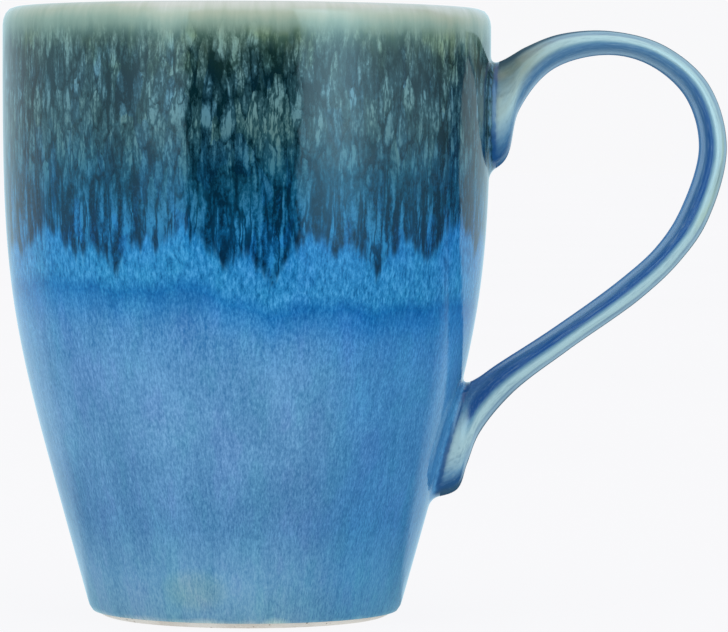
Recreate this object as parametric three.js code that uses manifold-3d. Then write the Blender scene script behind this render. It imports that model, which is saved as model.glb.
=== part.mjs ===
// A glazed stoneware mug with a looped strap handle, in millimetres, +Z up, resting on z = 0.
// The origin is the bottom centre of the whole outline, so the cup's own axis stands to the -X side of it
// and the handle reaches out along +X.
import * as THREE from "three";
import { mergeVertices } from "three/addons/utils/BufferGeometryUtils.js";
import Module from "manifold-3d";

// The cup: radii and heights of the finished, glazed surface.
const HEIGHT = 110;
const WALL_RADIUS = 44.2; // the upright upper wall
const CONE_BASE_RADIUS = 27.8; // where the lower wall's straight cone would meet the table
const CONE_SLOPE = 0.276; // outward per millimetre of height
const CONE_TOP = 28; // the cone ends here and the wall starts to curve upright
const UPRIGHT_FROM = 105;
const SWELL_LOW_REACH = 29.4; // how far the cone's direction carries into the curve
const SWELL_HIGH_REACH = 37.9;
const FOOT_CORNER = 3.5;
const LIP_CREST_RADIUS = 42.1;
const LIP_OUT_DROP = 3.2;
const LIP_IN_DROP = 2.4;
const INNER_RADIUS = 39.8; // just under the lip
const WALL_THICKNESS = 4.8; // measured level across the cone
const FLOOR_TOP = 7;
const FLOOR_FILLET = 9;

// The foot and the recess inside it.
const FOOT_OUTER_RADIUS = 24.5;
const FOOT_INNER_RADIUS = 21.3;
const RECESS_RADIUS = 20.3;
const RECESS_HEIGHT = 2;
const RECESS_GLAZE_RADIUS = 19.4;
const GLAZE_STOP = -42; // degrees round the foot corner where the outside glaze ends, above the bare foot

// The fired coats, and the clearance kept between neighbours.
const GLAZE = 0.45;
const GAP = 0.3;
const CLAY_DEPTH = GLAZE + GAP;

// The handle: a strap between an outer and an inner rail, as [x, z] from the cup's axis, root to root.
const OUTER_RAIL = [
  [41.5, 99.2], [46.4, 101.0], [50.6, 103.4], [56.6, 105.7], [65.8, 106.3], [75.6, 103.7],
  [83.6, 96.8], [87.0, 85.4], [83.6, 72.0], [78.6, 64.6], [71.5, 57.8], [58.3, 48.3],
  [48.4, 40.6], [42.4, 33.2], [40.2, 27.6], [38.4, 23.0], [33.0, 21.2],
];
const INNER_RAIL = [
  [41.5, 79.4], [46.8, 82.8], [49.4, 92.0], [55.4, 99.3], [65.2, 102.0], [73.0, 100.2],
  [79.6, 94.4], [82.1, 85.4], [78.8, 74.0], [74.6, 67.4], [68.1, 61.4], [55.5, 52.2],
  [45.4, 45.6], [42.3, 43.4], [40.8, 42.6], [39.4, 42.2], [34.5, 41.2],
];
const STRAP_WIDTH = 12.6;
const ROOT_WIDTH = 16.4;
const UPPER_ROOT_SHARE = 0.2; // share of the strap's run over which each root narrows
const LOWER_ROOT_SHARE = 0.32;
const STRAP_SQUARENESS = 2.4; // 2 is an ellipse, more is squarer
const JOINT_RISE = 0.8; // the luting bed stands this far out of the glazed wall
const JOINT_FLARE = 1; // and this far beyond the strap all round

// How finely the curved faces are divided.
const TURN_STEPS = 48;
const STRAP_STEPS = 44;
const STRAP_SIDES = 16;

const HANDLE_REACH = Math.max(...OUTER_RAIL.map(([x]) => x));
const CUP_AXIS_X = (WALL_RADIUS - HANDLE_REACH) / 2;
const DEGREE = Math.PI / 180;

const wasm = await Module();
wasm.setup();

function coneRadius(z) {
  return CONE_BASE_RADIUS + CONE_SLOPE * z;
}

// The centre of a round corner tucked between a level line and a cone of the given base radius.
function cornerCentre(baseRadius, level, corner) {
  const lean = Math.hypot(1, CONE_SLOPE);
  const height = level + corner;
  return new THREE.Vector2(baseRadius + CONE_SLOPE * height - lean * corner, height);
}

const CONE_ANGLE = Math.atan(CONE_SLOPE);

function arc(centre, radiusX, radiusY, fromAngle, toAngle) {
  const clockwise = toAngle < fromAngle;
  return new THREE.EllipseCurve(centre.x, centre.y, radiusX, radiusY, fromAngle, toAngle, clockwise);
}

function line(from, to) {
  return new THREE.LineCurve(from, to);
}

// Each stretch of a section, with the number of steps it is divided into.
function stretch(curve, steps) {
  return { curve, steps };
}

// The outside of the glazed cup, from the foot corner at the given angle up to the lip's crest.
function outsideStretches(startAngle) {
  const centre = cornerCentre(CONE_BASE_RADIUS, 0, FOOT_CORNER);
  const corner = arc(centre, FOOT_CORNER, FOOT_CORNER, startAngle, -CONE_ANGLE);
  const coneTop = new THREE.Vector2(coneRadius(CONE_TOP), CONE_TOP);
  const wallTop = new THREE.Vector2(WALL_RADIUS, UPRIGHT_FROM);
  const swell = new THREE.CubicBezierCurve(
    coneTop,
    new THREE.Vector2(coneTop.x + CONE_SLOPE * SWELL_LOW_REACH, CONE_TOP + SWELL_LOW_REACH),
    new THREE.Vector2(WALL_RADIUS, UPRIGHT_FROM - SWELL_HIGH_REACH),
    wallTop,
  );
  const lipCentre = new THREE.Vector2(LIP_CREST_RADIUS, HEIGHT - LIP_OUT_DROP);
  const lipStart = new THREE.Vector2(WALL_RADIUS, lipCentre.y);
  const lip = arc(lipCentre, WALL_RADIUS - LIP_CREST_RADIUS, LIP_OUT_DROP, 0, 90 * DEGREE);
  return [
    stretch(corner, 3),
    stretch(line(corner.getPoint(1), coneTop), 1),
    stretch(swell, 7),
    stretch(line(wallTop, lipStart), 1),
    stretch(lip, 4),
  ];
}

// The inside of the glazed cup, from the lip at the given angle down to the middle of the floor.
function insideStretches(startAngle) {
  const lipCentre = new THREE.Vector2(LIP_CREST_RADIUS, HEIGHT - LIP_IN_DROP);
  const lip = arc(lipCentre, LIP_CREST_RADIUS - INNER_RADIUS, LIP_IN_DROP, startAngle, 180 * DEGREE);
  const baseRadius = CONE_BASE_RADIUS - WALL_THICKNESS;
  const coneTop = new THREE.Vector2(baseRadius + CONE_SLOPE * CONE_TOP, CONE_TOP);
  const wall = new THREE.CubicBezierCurve(
    lip.getPoint(1),
    new THREE.Vector2(INNER_RADIUS, UPRIGHT_FROM - SWELL_HIGH_REACH),
    new THREE.Vector2(coneTop.x + CONE_SLOPE * SWELL_LOW_REACH, CONE_TOP + SWELL_LOW_REACH),
    coneTop,
  );
  const centre = cornerCentre(baseRadius, FLOOR_TOP, FLOOR_FILLET);
  const fillet = arc(centre, FLOOR_FILLET, FLOOR_FILLET, -CONE_ANGLE, -90 * DEGREE);
  return [
    stretch(lip, 3),
    stretch(wall, 7),
    stretch(line(coneTop, fillet.getPoint(0)), 1),
    stretch(fillet, 4),
    stretch(line(fillet.getPoint(1), new THREE.Vector2(0, FLOOR_TOP)), 1),
  ];
}

// Points along the stretches, moved into the wall by depth (out of it where depth is negative).
function tracePoints(stretches, depth) {
  const points = [];
  for (const { curve, steps } of stretches) {
    for (let step = points.length ? 1 : 0; step <= steps; step++) {
      const point = curve.getPoint(step / steps);
      const along = curve.getTangent(step / steps);
      const radius = Math.max(0, point.x - along.y * depth);
      points.push(new THREE.Vector2(radius, point.y + along.x * depth));
    }
  }
  return points;
}

// A solid turned about the cup's axis from a closed section, or one that starts and ends on the axis.
function turned(points) {
  const geometry = new THREE.LatheGeometry(points, TURN_STEPS);
  geometry.rotateX(90 * DEGREE);
  geometry.translate(CUP_AXIS_X, 0, 0);
  return geometry;
}

function closedSection(points) {
  return [...points, points[0].clone()];
}

function toSolid(geometry) {
  const bare = geometry.clone();
  bare.deleteAttribute("normal");
  bare.deleteAttribute("uv");
  const merged = mergeVertices(bare, 1e-3);
  return new wasm.Manifold(
    new wasm.Mesh({
      numProp: 3,
      vertProperties: merged.attributes.position.array,
      triVerts: new Uint32Array(merged.index.array),
    }),
  );
}

function toGeometry(solid) {
  const mesh = solid.getMesh();
  const geometry = new THREE.BufferGeometry();
  geometry.setAttribute("position", new THREE.BufferAttribute(mesh.vertProperties, mesh.numProp));
  geometry.setIndex(new THREE.BufferAttribute(mesh.triVerts, 1));
  return geometry;
}

// The clay cup under its coats: bare foot ring, recess, wall, lip and floor in one turned section.
function clayCup() {
  const clayBase = CONE_BASE_RADIUS - CLAY_DEPTH * Math.hypot(1, CONE_SLOPE);
  const reach = Math.hypot(1, CONE_SLOPE) - CONE_SLOPE;
  const corner = (clayBase - FOOT_OUTER_RADIUS) / reach;
  const centre = cornerCentre(clayBase, 0, corner);
  const footCorner = stretch(arc(centre, corner, corner, -90 * DEGREE, -CONE_ANGLE), 4);
  const outside = outsideStretches(-CONE_ANGLE - DEGREE).slice(1);
  return turned([
    new THREE.Vector2(0, RECESS_HEIGHT),
    new THREE.Vector2(RECESS_RADIUS, RECESS_HEIGHT),
    new THREE.Vector2(FOOT_INNER_RADIUS, 0),
    ...tracePoints([footCorner], 0),
    ...tracePoints(outside, CLAY_DEPTH).slice(1),
    ...tracePoints(insideStretches(90 * DEGREE), CLAY_DEPTH).slice(1),
  ]);
}

// The outside coat: a thin shell from the foot to the lip's crest, open where the handle's roots stand.
function outsideCoat(rootCutter) {
  const stretches = outsideStretches(GLAZE_STOP * DEGREE);
  const section = [...tracePoints(stretches, 0), ...tracePoints(stretches, GLAZE).reverse()];
  return toGeometry(toSolid(turned(closedSection(section))).subtract(rootCutter));
}

// The inside coat: from just past the lip's crest down over the floor.
function insideCoat() {
  const crestGap = Math.asin(GAP / (LIP_CREST_RADIUS - INNER_RADIUS));
  const stretches = insideStretches(90 * DEGREE + crestGap);
  return turned([...tracePoints(stretches, GLAZE).reverse(), ...tracePoints(stretches, 0)]);
}

function recessCoat() {
  const top = RECESS_HEIGHT - GAP;
  const disc = new THREE.CylinderGeometry(RECESS_GLAZE_RADIUS, RECESS_GLAZE_RADIUS, GLAZE, TURN_STEPS);
  disc.rotateX(90 * DEGREE);
  disc.translate(CUP_AXIS_X, 0, top - GLAZE / 2);
  return disc;
}

function railCurve(points) {
  const placed = points.map(([x, z]) => new THREE.Vector3(CUP_AXIS_X + x, 0, z));
  return new THREE.CatmullRomCurve3(placed, false, "centripetal");
}

function strapHalfWidth(run) {
  const upper = Math.max(0, 1 - run / UPPER_ROOT_SHARE);
  const lower = Math.max(0, 1 - (1 - run) / LOWER_ROOT_SHARE);
  return (STRAP_WIDTH + (ROOT_WIDTH - STRAP_WIDTH) * (upper ** 2 + lower ** 2)) / 2;
}

function roundedSide(angle) {
  const power = 2 / STRAP_SQUARENESS;
  const across = Math.sign(Math.sin(angle)) * Math.abs(Math.sin(angle)) ** power;
  const along = Math.sign(Math.cos(angle)) * Math.abs(Math.cos(angle)) ** power;
  return { across, along };
}

// The strap as one closed skin: rounded sections spanning the two rails, grown outward by the given amount.
function strap(grow) {
  const outerRail = railCurve(OUTER_RAIL);
  const innerRail = railCurve(INNER_RAIL);
  const positions = [];
  const faces = [];
  for (let step = 0; step <= STRAP_STEPS; step++) {
    const run = step / STRAP_STEPS;
    const outer = outerRail.getPoint(run);
    const inner = innerRail.getPoint(run);
    const middle = outer.clone().add(inner).multiplyScalar(0.5);
    const halfSpan = outer.clone().sub(inner).multiplyScalar(0.5);
    for (let side = 0; side < STRAP_SIDES; side++) {
      const { across, along } = roundedSide((2 * Math.PI * side) / STRAP_SIDES);
      const point = middle.clone().addScaledVector(halfSpan, along);
      positions.push(point.x, across * strapHalfWidth(run), point.z);
    }
  }
  const ends = [0, STRAP_STEPS * STRAP_SIDES];
  for (let step = 0; step < STRAP_STEPS; step++) {
    for (let side = 0; side < STRAP_SIDES; side++) {
      const here = step * STRAP_SIDES + side;
      const beside = step * STRAP_SIDES + ((side + 1) % STRAP_SIDES);
      faces.push(here, here + STRAP_SIDES, beside, beside, here + STRAP_SIDES, beside + STRAP_SIDES);
    }
  }
  for (let side = 1; side < STRAP_SIDES - 1; side++) {
    faces.push(ends[0], ends[0] + side, ends[0] + side + 1);
    faces.push(ends[1], ends[1] + side + 1, ends[1] + side);
  }
  const geometry = new THREE.BufferGeometry();
  geometry.setAttribute("position", new THREE.Float32BufferAttribute(positions, 3));
  geometry.setIndex(faces);
  geometry.computeVertexNormals();
  const place = geometry.attributes.position;
  const normal = geometry.attributes.normal;
  for (let i = 0; i < place.count; i++) {
    place.setXYZ(
      i,
      place.getX(i) + grow * normal.getX(i),
      place.getY(i) + grow * normal.getY(i),
      place.getZ(i) + grow * normal.getZ(i),
    );
  }
  return toSolid(geometry);
}

// The whole cup as one filled solid, its outside grown outward by the given amount.
function filledCup(grow) {
  const outside = tracePoints(outsideStretches(-CONE_ANGLE - DEGREE), -grow);
  const floor = new THREE.Vector2(0, outside[0].y);
  const top = new THREE.Vector2(0, outside.at(-1).y);
  return toSolid(turned([floor, ...outside, top]));
}

// Heights between which each root of the strap lies, with room to spare.
const UPPER_ROOT = { lowest: 70, highest: 108 };
const LOWER_ROOT = { lowest: 12, highest: 60 };

// One luting bed: the strap's root, flared, between the clay wall and the strap's end.
function lutingBed({ lowest, highest }) {
  const room = new THREE.BoxGeometry(4 * WALL_RADIUS, 2 * WALL_RADIUS, highest - lowest);
  room.translate(0, 0, (lowest + highest) / 2);
  const wrap = filledCup(JOINT_RISE).subtract(filledCup(-GLAZE));
  return toGeometry(strap(JOINT_FLARE).intersect(wrap).intersect(toSolid(room)));
}

const stoneware = new THREE.MeshStandardMaterial({ color: 0xb9a88f, roughness: 0.8, metalness: 0 });
const reactiveGlaze = new THREE.MeshStandardMaterial({ color: 0x3f78ac, roughness: 0.12, metalness: 0 });
const handleGlaze = new THREE.MeshStandardMaterial({ color: 0x5f90b2, roughness: 0.12, metalness: 0 });
const linerGlaze = new THREE.MeshStandardMaterial({ color: 0x86a7ac, roughness: 0.12, metalness: 0 });

const mug = new THREE.Group();

function addPiece(name, geometry, material) {
  const piece = new THREE.Mesh(geometry, material);
  piece.name = name;
  mug.add(piece);
}

const strapRoom = filledCup(JOINT_RISE + GAP);
const strapClay = strap(-CLAY_DEPTH).subtract(strapRoom);
const strapCoat = strap(0).subtract(strap(-GLAZE)).subtract(strapRoom);

addPiece("body", clayCup(), stoneware);
addPiece("handle", toGeometry(strapClay), stoneware);
addPiece("upper_joint", lutingBed(UPPER_ROOT), reactiveGlaze);
addPiece("lower_joint", lutingBed(LOWER_ROOT), reactiveGlaze);
addPiece("outer_glaze", outsideCoat(strap(JOINT_FLARE + GAP)), reactiveGlaze);
addPiece("liner_glaze", insideCoat(), linerGlaze);
addPiece("handle_glaze", toGeometry(strapCoat), handleGlaze);
addPiece("recess_glaze", recessCoat(), reactiveGlaze);

export default mug;
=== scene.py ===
"""A stoneware mug with a pulled strap handle and a glaze that runs from a dark shoulder into a blue belly.

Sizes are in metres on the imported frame, apart from the handle's rails, the drips and the glaze patterns, which
are in millimetres.
"""

import math

import bpy
import numpy as np
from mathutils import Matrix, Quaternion, Vector


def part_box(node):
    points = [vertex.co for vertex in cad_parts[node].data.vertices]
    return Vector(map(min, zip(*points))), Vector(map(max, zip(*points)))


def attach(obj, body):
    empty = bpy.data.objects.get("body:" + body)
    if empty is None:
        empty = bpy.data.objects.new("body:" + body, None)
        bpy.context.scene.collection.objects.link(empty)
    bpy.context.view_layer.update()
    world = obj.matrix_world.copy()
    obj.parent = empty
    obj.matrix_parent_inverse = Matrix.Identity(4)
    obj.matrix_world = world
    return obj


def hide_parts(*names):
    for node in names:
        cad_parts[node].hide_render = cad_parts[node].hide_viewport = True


bl_info = {
    "name": "Glazed mug",
    "version": (1, 0, 0),
    "blender": (4, 5, 0),
    "location": "View3D > Sidebar > Mug",
    "description": "Builds a reactive-glazed stoneware mug over its packed frame",
    "category": "Add Mesh",
}

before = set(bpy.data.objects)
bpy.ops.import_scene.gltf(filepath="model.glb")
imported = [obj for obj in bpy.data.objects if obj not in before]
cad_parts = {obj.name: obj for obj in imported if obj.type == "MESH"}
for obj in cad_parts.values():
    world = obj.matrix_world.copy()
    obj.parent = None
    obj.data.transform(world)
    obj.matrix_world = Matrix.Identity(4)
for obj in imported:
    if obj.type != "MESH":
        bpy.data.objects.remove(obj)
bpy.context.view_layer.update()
COAT_LOW, COAT_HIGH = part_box("outer_glaze")
RECESS_LOW, RECESS_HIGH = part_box("recess_glaze")
AXIS_X = (COAT_LOW.x + COAT_HIGH.x) / 2
MM = 0.001
DEGREE = math.pi / 180
ARC_STEPS = 60
# The first row of points round a pole stands this far from it.
POLE_RADIUS = 0.3 * MM
# Hidden rows get this share of their length on the map, so that most of it is left for what shows.
HIDDEN_SHARE = 0.15

# The handle's two rails, from the upper root to the lower, as reach from the cup's axis and height.
OUTER_RAIL = (
    (41.5, 99.2), (46.4, 101.0), (50.6, 103.4), (56.6, 105.7), (65.8, 106.3), (75.6, 103.7),
    (83.6, 96.8), (87.0, 85.4), (83.6, 72.0), (78.6, 64.6), (71.5, 57.8), (58.3, 48.3),
    (48.4, 40.6), (42.4, 33.2), (40.2, 27.6), (38.4, 23.0), (33.0, 21.2),
)
INNER_RAIL = (
    (41.5, 79.4), (46.8, 82.8), (49.4, 92.0), (55.4, 99.3), (65.2, 102.0), (73.0, 100.2),
    (79.6, 94.4), (82.1, 85.4), (78.8, 74.0), (74.6, 67.4), (68.1, 61.4), (55.5, 52.2),
    (45.4, 45.6), (42.3, 43.4), (40.8, 42.6), (39.4, 42.2), (34.5, 41.2),
)

# Drips of the dark glaze: angle round the cup from its front towards the handle in degrees,
# how far each hangs below the line in millimetres, and its half width in degrees.
FRONT_DRIPS = (
    (-64.5, 6.0, 6.0), (-42.0, 5.0, 6.0), (-30.7, 7.5, 4.2), (-20.0, 4.0, 3.4), (-3.2, 6.5, 4.6),
    (7.6, 10.5, 4.6), (22.5, 3.4, 2.6), (33.0, 9.5, 5.0), (48.6, 7.0, 4.6),
)
BACK_DRIPS = (
    (72.0, 5.0, 3.5), (88.0, 8.5, 5.0), (103.0, 4.0, 2.6), (116.0, 9.5, 4.2), (131.0, 6.5, 3.6),
    (147.0, 3.5, 2.4), (158.0, 10.0, 4.6), (174.0, 6.0, 3.2), (189.0, 8.0, 4.4), (203.0, 4.5, 2.8),
    (216.0, 9.0, 4.0), (231.0, 5.5, 3.4), (246.0, 7.5, 4.6), (262.0, 4.0, 3.0), (279.0, 8.5, 4.8),
)


def srgb(red, green, blue):
    """The linear colour of a swatch given in steps of 0 to 255."""
    share = np.array([red, green, blue]) / 255
    linear = np.where(share <= 0.04045, share / 12.92, ((share + 0.055) / 1.055) ** 2.4)
    return tuple(float(part) for part in linear)


def length(name, millimetres, description):
    return bpy.props.FloatProperty(
        name=name, description=description, default=millimetres * MM, unit="LENGTH", precision=5
    )


def number(name, description, default):
    return bpy.props.FloatProperty(name=name, description=description, default=default)


def rotation(name, description, degrees):
    return bpy.props.FloatProperty(
        name=name, description=description, default=degrees * DEGREE, unit="ROTATION"
    )


def swatch(name, red, green, blue, description):
    return bpy.props.FloatVectorProperty(
        name=name, description=description, default=srgb(red, green, blue),
        size=3, subtype="COLOR", min=0, max=1,
    )


class CupSizes(bpy.types.PropertyGroup):
    """Radii and heights of the glazed cup."""

    height: bpy.props.FloatProperty(
        name="Height", description="Table to the lip's crest", default=COAT_HIGH.z, unit="LENGTH"
    )
    wall_radius: bpy.props.FloatProperty(
        name="Wall radius", description="The upright upper wall", default=COAT_HIGH.y, unit="LENGTH"
    )
    cone_base: length("Cone base", 27.8, "Radius where the lower wall would meet the table")
    cone_slope: number("Cone slope", "Radius gained per height", 0.276)
    cone_top: length("Cone top", 28, "Height where the wall starts to curve upright")
    upright_from: length("Upright from", 105, "Height where the wall stands upright")
    low_reach: length("Low reach", 29.4, "How far the cone's direction carries into the curve")
    high_reach: length("High reach", 37.9, "How far the upright direction carries into the curve")
    foot_corner: length("Foot corner", 3.5, "Radius of the corner above the foot")
    crest_radius: length("Crest radius", 42.1, "Radius of the lip's crest")
    lip_outside: length("Lip outside", 3.2, "Height of the lip's outer rounding")
    lip_inside: length("Lip inside", 2.4, "Height of the lip's inner rounding")
    inner_radius: length("Inner radius", 39.8, "Inside wall under the lip")
    wall: length("Wall", 4.8, "Wall thickness, measured level")
    floor_top: length("Floor", 7, "Height of the inside floor")
    floor_fillet: length("Floor fillet", 9, "Radius between floor and wall")
    foot_outside: length("Foot outside", 24.5, "Outer radius of the foot ring")
    foot_inside: length("Foot inside", 21.3, "Inner radius of the foot ring")
    recess_radius: length("Recess radius", 20.3, "Radius of the recess under the foot")
    recess_height: length("Recess height", 2, "Depth of the recess under the foot")
    glaze: length("Glaze", 0.45, "Thickness of a fired coat")
    gap: length("Gap", 0.3, "Clearance between a coat and the clay")
    glaze_stop: rotation("Glaze stop", "Where the coat ends round the foot corner", -42)


class StrapSizes(bpy.types.PropertyGroup):
    """Sizes of the strap handle and its luted joints."""

    width: length("Width", 12.6, "Width of the strap at its middle")
    root_width: length("Root width", 16.4, "Width of the strap at either root")
    upper_share: number("Upper root", "Share of the run that narrows", 0.2)
    lower_share: number("Lower root", "Share of the run that narrows", 0.32)
    squareness: number("Squareness", "2 is an ellipse, more is squarer", 2.4)
    fillet_rise: length("Fillet rise", 1.5, "How far the joint's fillet climbs the strap")
    fillet_reach: length("Fillet reach", 1.8, "How far the joint's fillet runs out over the wall")


class GlazeColours(bpy.types.PropertyGroup):
    """Colours that a user would change first."""

    clay: swatch("Clay", 214, 212, 204, "Bare fired stoneware")
    clay_speck: swatch("Clay speck", 96, 78, 60, "Iron specks in the clay")
    liner: swatch("Inside", 120, 156, 168, "Inside glaze on the wall")
    liner_pool: swatch("Inside pool", 52, 104, 140, "Inside glaze where it pools on the floor")
    # Painted reflection: this pale colour stands in for the bright room seen in the gloss of the strap's side,
    # not for a thinner glaze.
    strap_painted_sheen: swatch("Strap ridge", 158, 192, 200, "Where the glaze breaks thin over the strap's ridge")
    strap_blue: swatch("Strap blue", 36, 82, 140, "The strap's glaze where it lies thick")
    floor: swatch("Floor", 248, 248, 250, "Studio floor and sweep")


class StageSizes(bpy.types.PropertyGroup):
    """Camera and light."""

    lens: number("Lens", "Focal length in millimetres", 221.7)
    distance: length("Distance", 814, "Camera to the cup's middle plane")
    camera_height: length("Camera height", 81.5, "Camera above the table")
    aim_height: length("Aim height", 54.45, "Height that the camera looks at")
    roll: rotation("Roll", "Camera roll", 0.25)
    softbox: number("Softbox", "Brightness of the left softbox; the right one is a fifth weaker", 2.6)
    room: number("Room", "Brightness of the pale room", 0.94)


# ---------------------------------------------------------------- lines and surfaces


def join(*stretches):
    """One line from several that meet end to end, without the doubled points."""
    return np.vstack([stretches[0]] + [stretch[1:] for stretch in stretches[1:]])


def arc(centre, across, up, start, end, steps=ARC_STEPS):
    """Centre plus across times the cosine and up times the sine of an angle that runs evenly."""
    angle = np.linspace(start, end, steps)
    return np.stack([centre[0] + across * np.cos(angle), centre[1] + up * np.sin(angle)], axis=1)


def straight(start, end, steps=30):
    return np.linspace(start, end, steps)


def bezier(start, first, second, end, steps=240):
    """The cubic curve that leaves start towards first and arrives at end from second."""
    share = np.linspace(0, 1, steps)[:, None]
    back = 1 - share
    ends = back**3 * np.array(start) + share**3 * np.array(end)
    return ends + 3 * back**2 * share * np.array(first) + 3 * back * share**2 * np.array(second)


def corner_centre(base, slope, level, corner):
    """Centre of a round corner tucked between a level line and a cone of the given base and slope."""
    high = level + corner
    return base + slope * high - math.hypot(1, slope) * corner, high


def outside_line(cup, start):
    """Foot corner, straight cone, swelling wall, upright wall, then the outer quarter of the lip."""
    centre = corner_centre(cup.cone_base, cup.cone_slope, 0, cup.foot_corner)
    corner = arc(centre, cup.foot_corner, cup.foot_corner, start, -math.atan(cup.cone_slope))
    cone_top = (cup.cone_base + cup.cone_slope * cup.cone_top, cup.cone_top)
    low = (cone_top[0] + cup.cone_slope * cup.low_reach, cup.cone_top + cup.low_reach)
    wall_top = (cup.wall_radius, cup.upright_from)
    high = (cup.wall_radius, cup.upright_from - cup.high_reach)
    lip_base = (cup.wall_radius, cup.height - cup.lip_outside)
    lip_centre = (cup.crest_radius, lip_base[1])
    return join(
        corner,
        straight(corner[-1], cone_top),
        bezier(cone_top, low, high, wall_top),
        straight(wall_top, lip_base),
        arc(lip_centre, cup.wall_radius - cup.crest_radius, cup.lip_outside, 0, 90 * DEGREE),
    )


def inside_line(cup):
    """The inner quarter of the lip, the wall curving in, the cone, the fillet, then level to the axis."""
    lip_centre = (cup.crest_radius, cup.height - cup.lip_inside)
    lip = arc(lip_centre, cup.crest_radius - cup.inner_radius, cup.lip_inside, 90 * DEGREE, 180 * DEGREE)
    base = cup.cone_base - cup.wall
    cone_top = (base + cup.cone_slope * cup.cone_top, cup.cone_top)
    high = (cup.inner_radius, cup.upright_from - cup.high_reach)
    low = (cone_top[0] + cup.cone_slope * cup.low_reach, cup.cone_top + cup.low_reach)
    centre = corner_centre(base, cup.cone_slope, cup.floor_top, cup.floor_fillet)
    fillet = arc(centre, cup.floor_fillet, cup.floor_fillet, -math.atan(cup.cone_slope), -90 * DEGREE)
    return join(
        lip,
        bezier(lip[-1], high, low, cone_top),
        straight(cone_top, fillet[0]),
        fillet,
        straight(fillet[-1], (0, cup.floor_top), 60),
    )


def sunk(line, depth):
    """The line moved by depth along its left-hand normal, which on a cup's section is into the wall."""
    along = np.gradient(line, axis=0)
    along /= np.linalg.norm(along, axis=1)[:, None]
    moved = line + depth * np.stack([-along[:, 1], along[:, 0]], axis=1)
    return np.maximum(moved, (0, -1))


def evenly(line, count, crowd=None):
    """Count points along the line at even steps of its length; crowd reshapes the steps."""
    reach = np.concatenate(([0], np.cumsum(np.linalg.norm(np.diff(line, axis=0), axis=1))))
    share = np.linspace(0, 1, count) if crowd is None else crowd
    return np.stack([np.interp(share * reach[-1], reach, line[:, k]) for k in range(line.shape[1])], axis=1)


def turned(section, sides):
    """Each section point swept round the cup's axis, from the back, through the left to the back again."""
    angle = 90 * DEGREE + 2 * math.pi * np.arange(sides) / sides
    radius, high = section[:, 0][:, None], section[:, 1][:, None]
    across = AXIS_X + radius * np.cos(angle)
    return np.stack([across, radius * np.sin(angle), np.broadcast_to(high, across.shape)], axis=-1)


def weave(name, rows, ring=False, first_pole=None, last_pole=None, fields=None, creases=(), shares=None):
    """One closed skin from rows of points, each row a closed loop.

    Neighbouring rows are joined by four-sided faces. A ring joins its last row to its first; otherwise a pole
    closes each end with a fan. The map runs once round each row across, and along the rows by their distance
    times their share.
    """
    count, sides = rows.shape[:2]
    points = [rows.reshape(-1, 3)]
    here = np.arange(count * sides).reshape(count, sides)
    beside = np.roll(here, -1, axis=1)
    pick = np.arange(count if ring else count - 1)
    after = (pick + 1) % count
    quads = np.stack([here[pick], beside[pick], beside[after], here[after]], axis=-1).reshape(-1, 4)
    step = np.linalg.norm(np.roll(rows, -1, axis=0) - rows, axis=2).mean(axis=1)
    if shares is not None:
        step = step * shares
    if not ring:
        step = step[:-1]
    before = 0 if first_pole is None else np.linalg.norm(rows[0] - first_pole, axis=1).mean()
    beyond = 0 if last_pole is None else np.linalg.norm(rows[-1] - last_pole, axis=1).mean()
    reach = np.concatenate(([before], before + np.cumsum(step)))
    up = reach / (reach[-1] + beyond)
    left = np.arange(sides) / sides
    right = left + 1 / sides
    corners = np.empty((len(pick), sides, 4, 2))
    corners[..., 0, 0] = corners[..., 3, 0] = left
    corners[..., 1, 0] = corners[..., 2, 0] = right
    corners[..., 0, 1] = corners[..., 1, 1] = up[:-1, None]
    corners[..., 2, 1] = corners[..., 3, 1] = up[1:, None]
    faces = quads.tolist()
    maps = [corners.reshape(-1, 2)]
    total = count * sides
    for pole, row, high, turn in ((first_pole, 0, 0.0, 1), (last_pole, -1, 1.0, -1)):
        if pole is None:
            continue
        points.append(np.array(pole)[None])
        fan = np.stack([beside[row], here[row]][::turn] + [np.full(sides, total)], axis=-1)
        faces += fan.tolist()
        wide = np.stack([right, left][::turn] + [(left + right) / 2], axis=-1)
        tall = np.stack([np.full(sides, up[row])] * 2 + [np.full(sides, high)], axis=-1)
        maps.append(np.stack([wide, tall], axis=-1).reshape(-1, 2))
        total += 1
    points = np.vstack(points)
    maps = np.vstack(maps)
    first = points[quads]
    inside = np.einsum("ij,ij->i", first[:, 0], np.cross(first[:, 1], first[:, 2])).sum()
    inside += np.einsum("ij,ij->i", first[:, 0], np.cross(first[:, 2], first[:, 3])).sum()
    mesh = bpy.data.meshes.new(name)
    mesh.from_pydata(points.tolist(), [], faces)
    mesh.uv_layers.new(name="OFBake").data.foreach_set("uv", maps.ravel())
    mesh.shade_smooth()
    for title, values in (fields or {}).items():
        flat = values.reshape((count * sides,) + values.shape[2:])
        ends = ((0, first_pole), (-1, last_pole))
        extra = [values[row].mean(axis=0)[None] for row, pole in ends if pole is not None]
        flat = np.concatenate([flat] + extra)
        kind, slot = ("FLOAT_VECTOR", "vector") if flat.ndim == 2 else ("FLOAT", "value")
        mesh.attributes.new(title, kind, "POINT").data.foreach_set(slot, flat.ravel())
    if creases:
        pairs = np.empty(len(mesh.edges) * 2, dtype=np.int64)
        mesh.edges.foreach_get("vertices", pairs)
        ring_of = (pairs // sides).reshape(-1, 2)
        sharp = (ring_of[:, 0] == ring_of[:, 1]) & np.isin(ring_of[:, 0], [row % count for row in creases])
        mesh.attributes.new("sharp_edge", "BOOLEAN", "EDGE").data.foreach_set("value", sharp)
    if inside < 0:
        mesh.flip_normals()
    mesh.validate()
    piece = bpy.data.objects.new(name, mesh)
    bpy.context.scene.collection.objects.link(piece)
    return piece


def map_shares(seen, hidden, after=0):
    """The share of its length that each step between rows gets on the map: seen, hidden, then seen again."""
    return np.concatenate([np.ones(seen), np.full(hidden, HIDDEN_SHARE), np.ones(after)])


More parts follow.
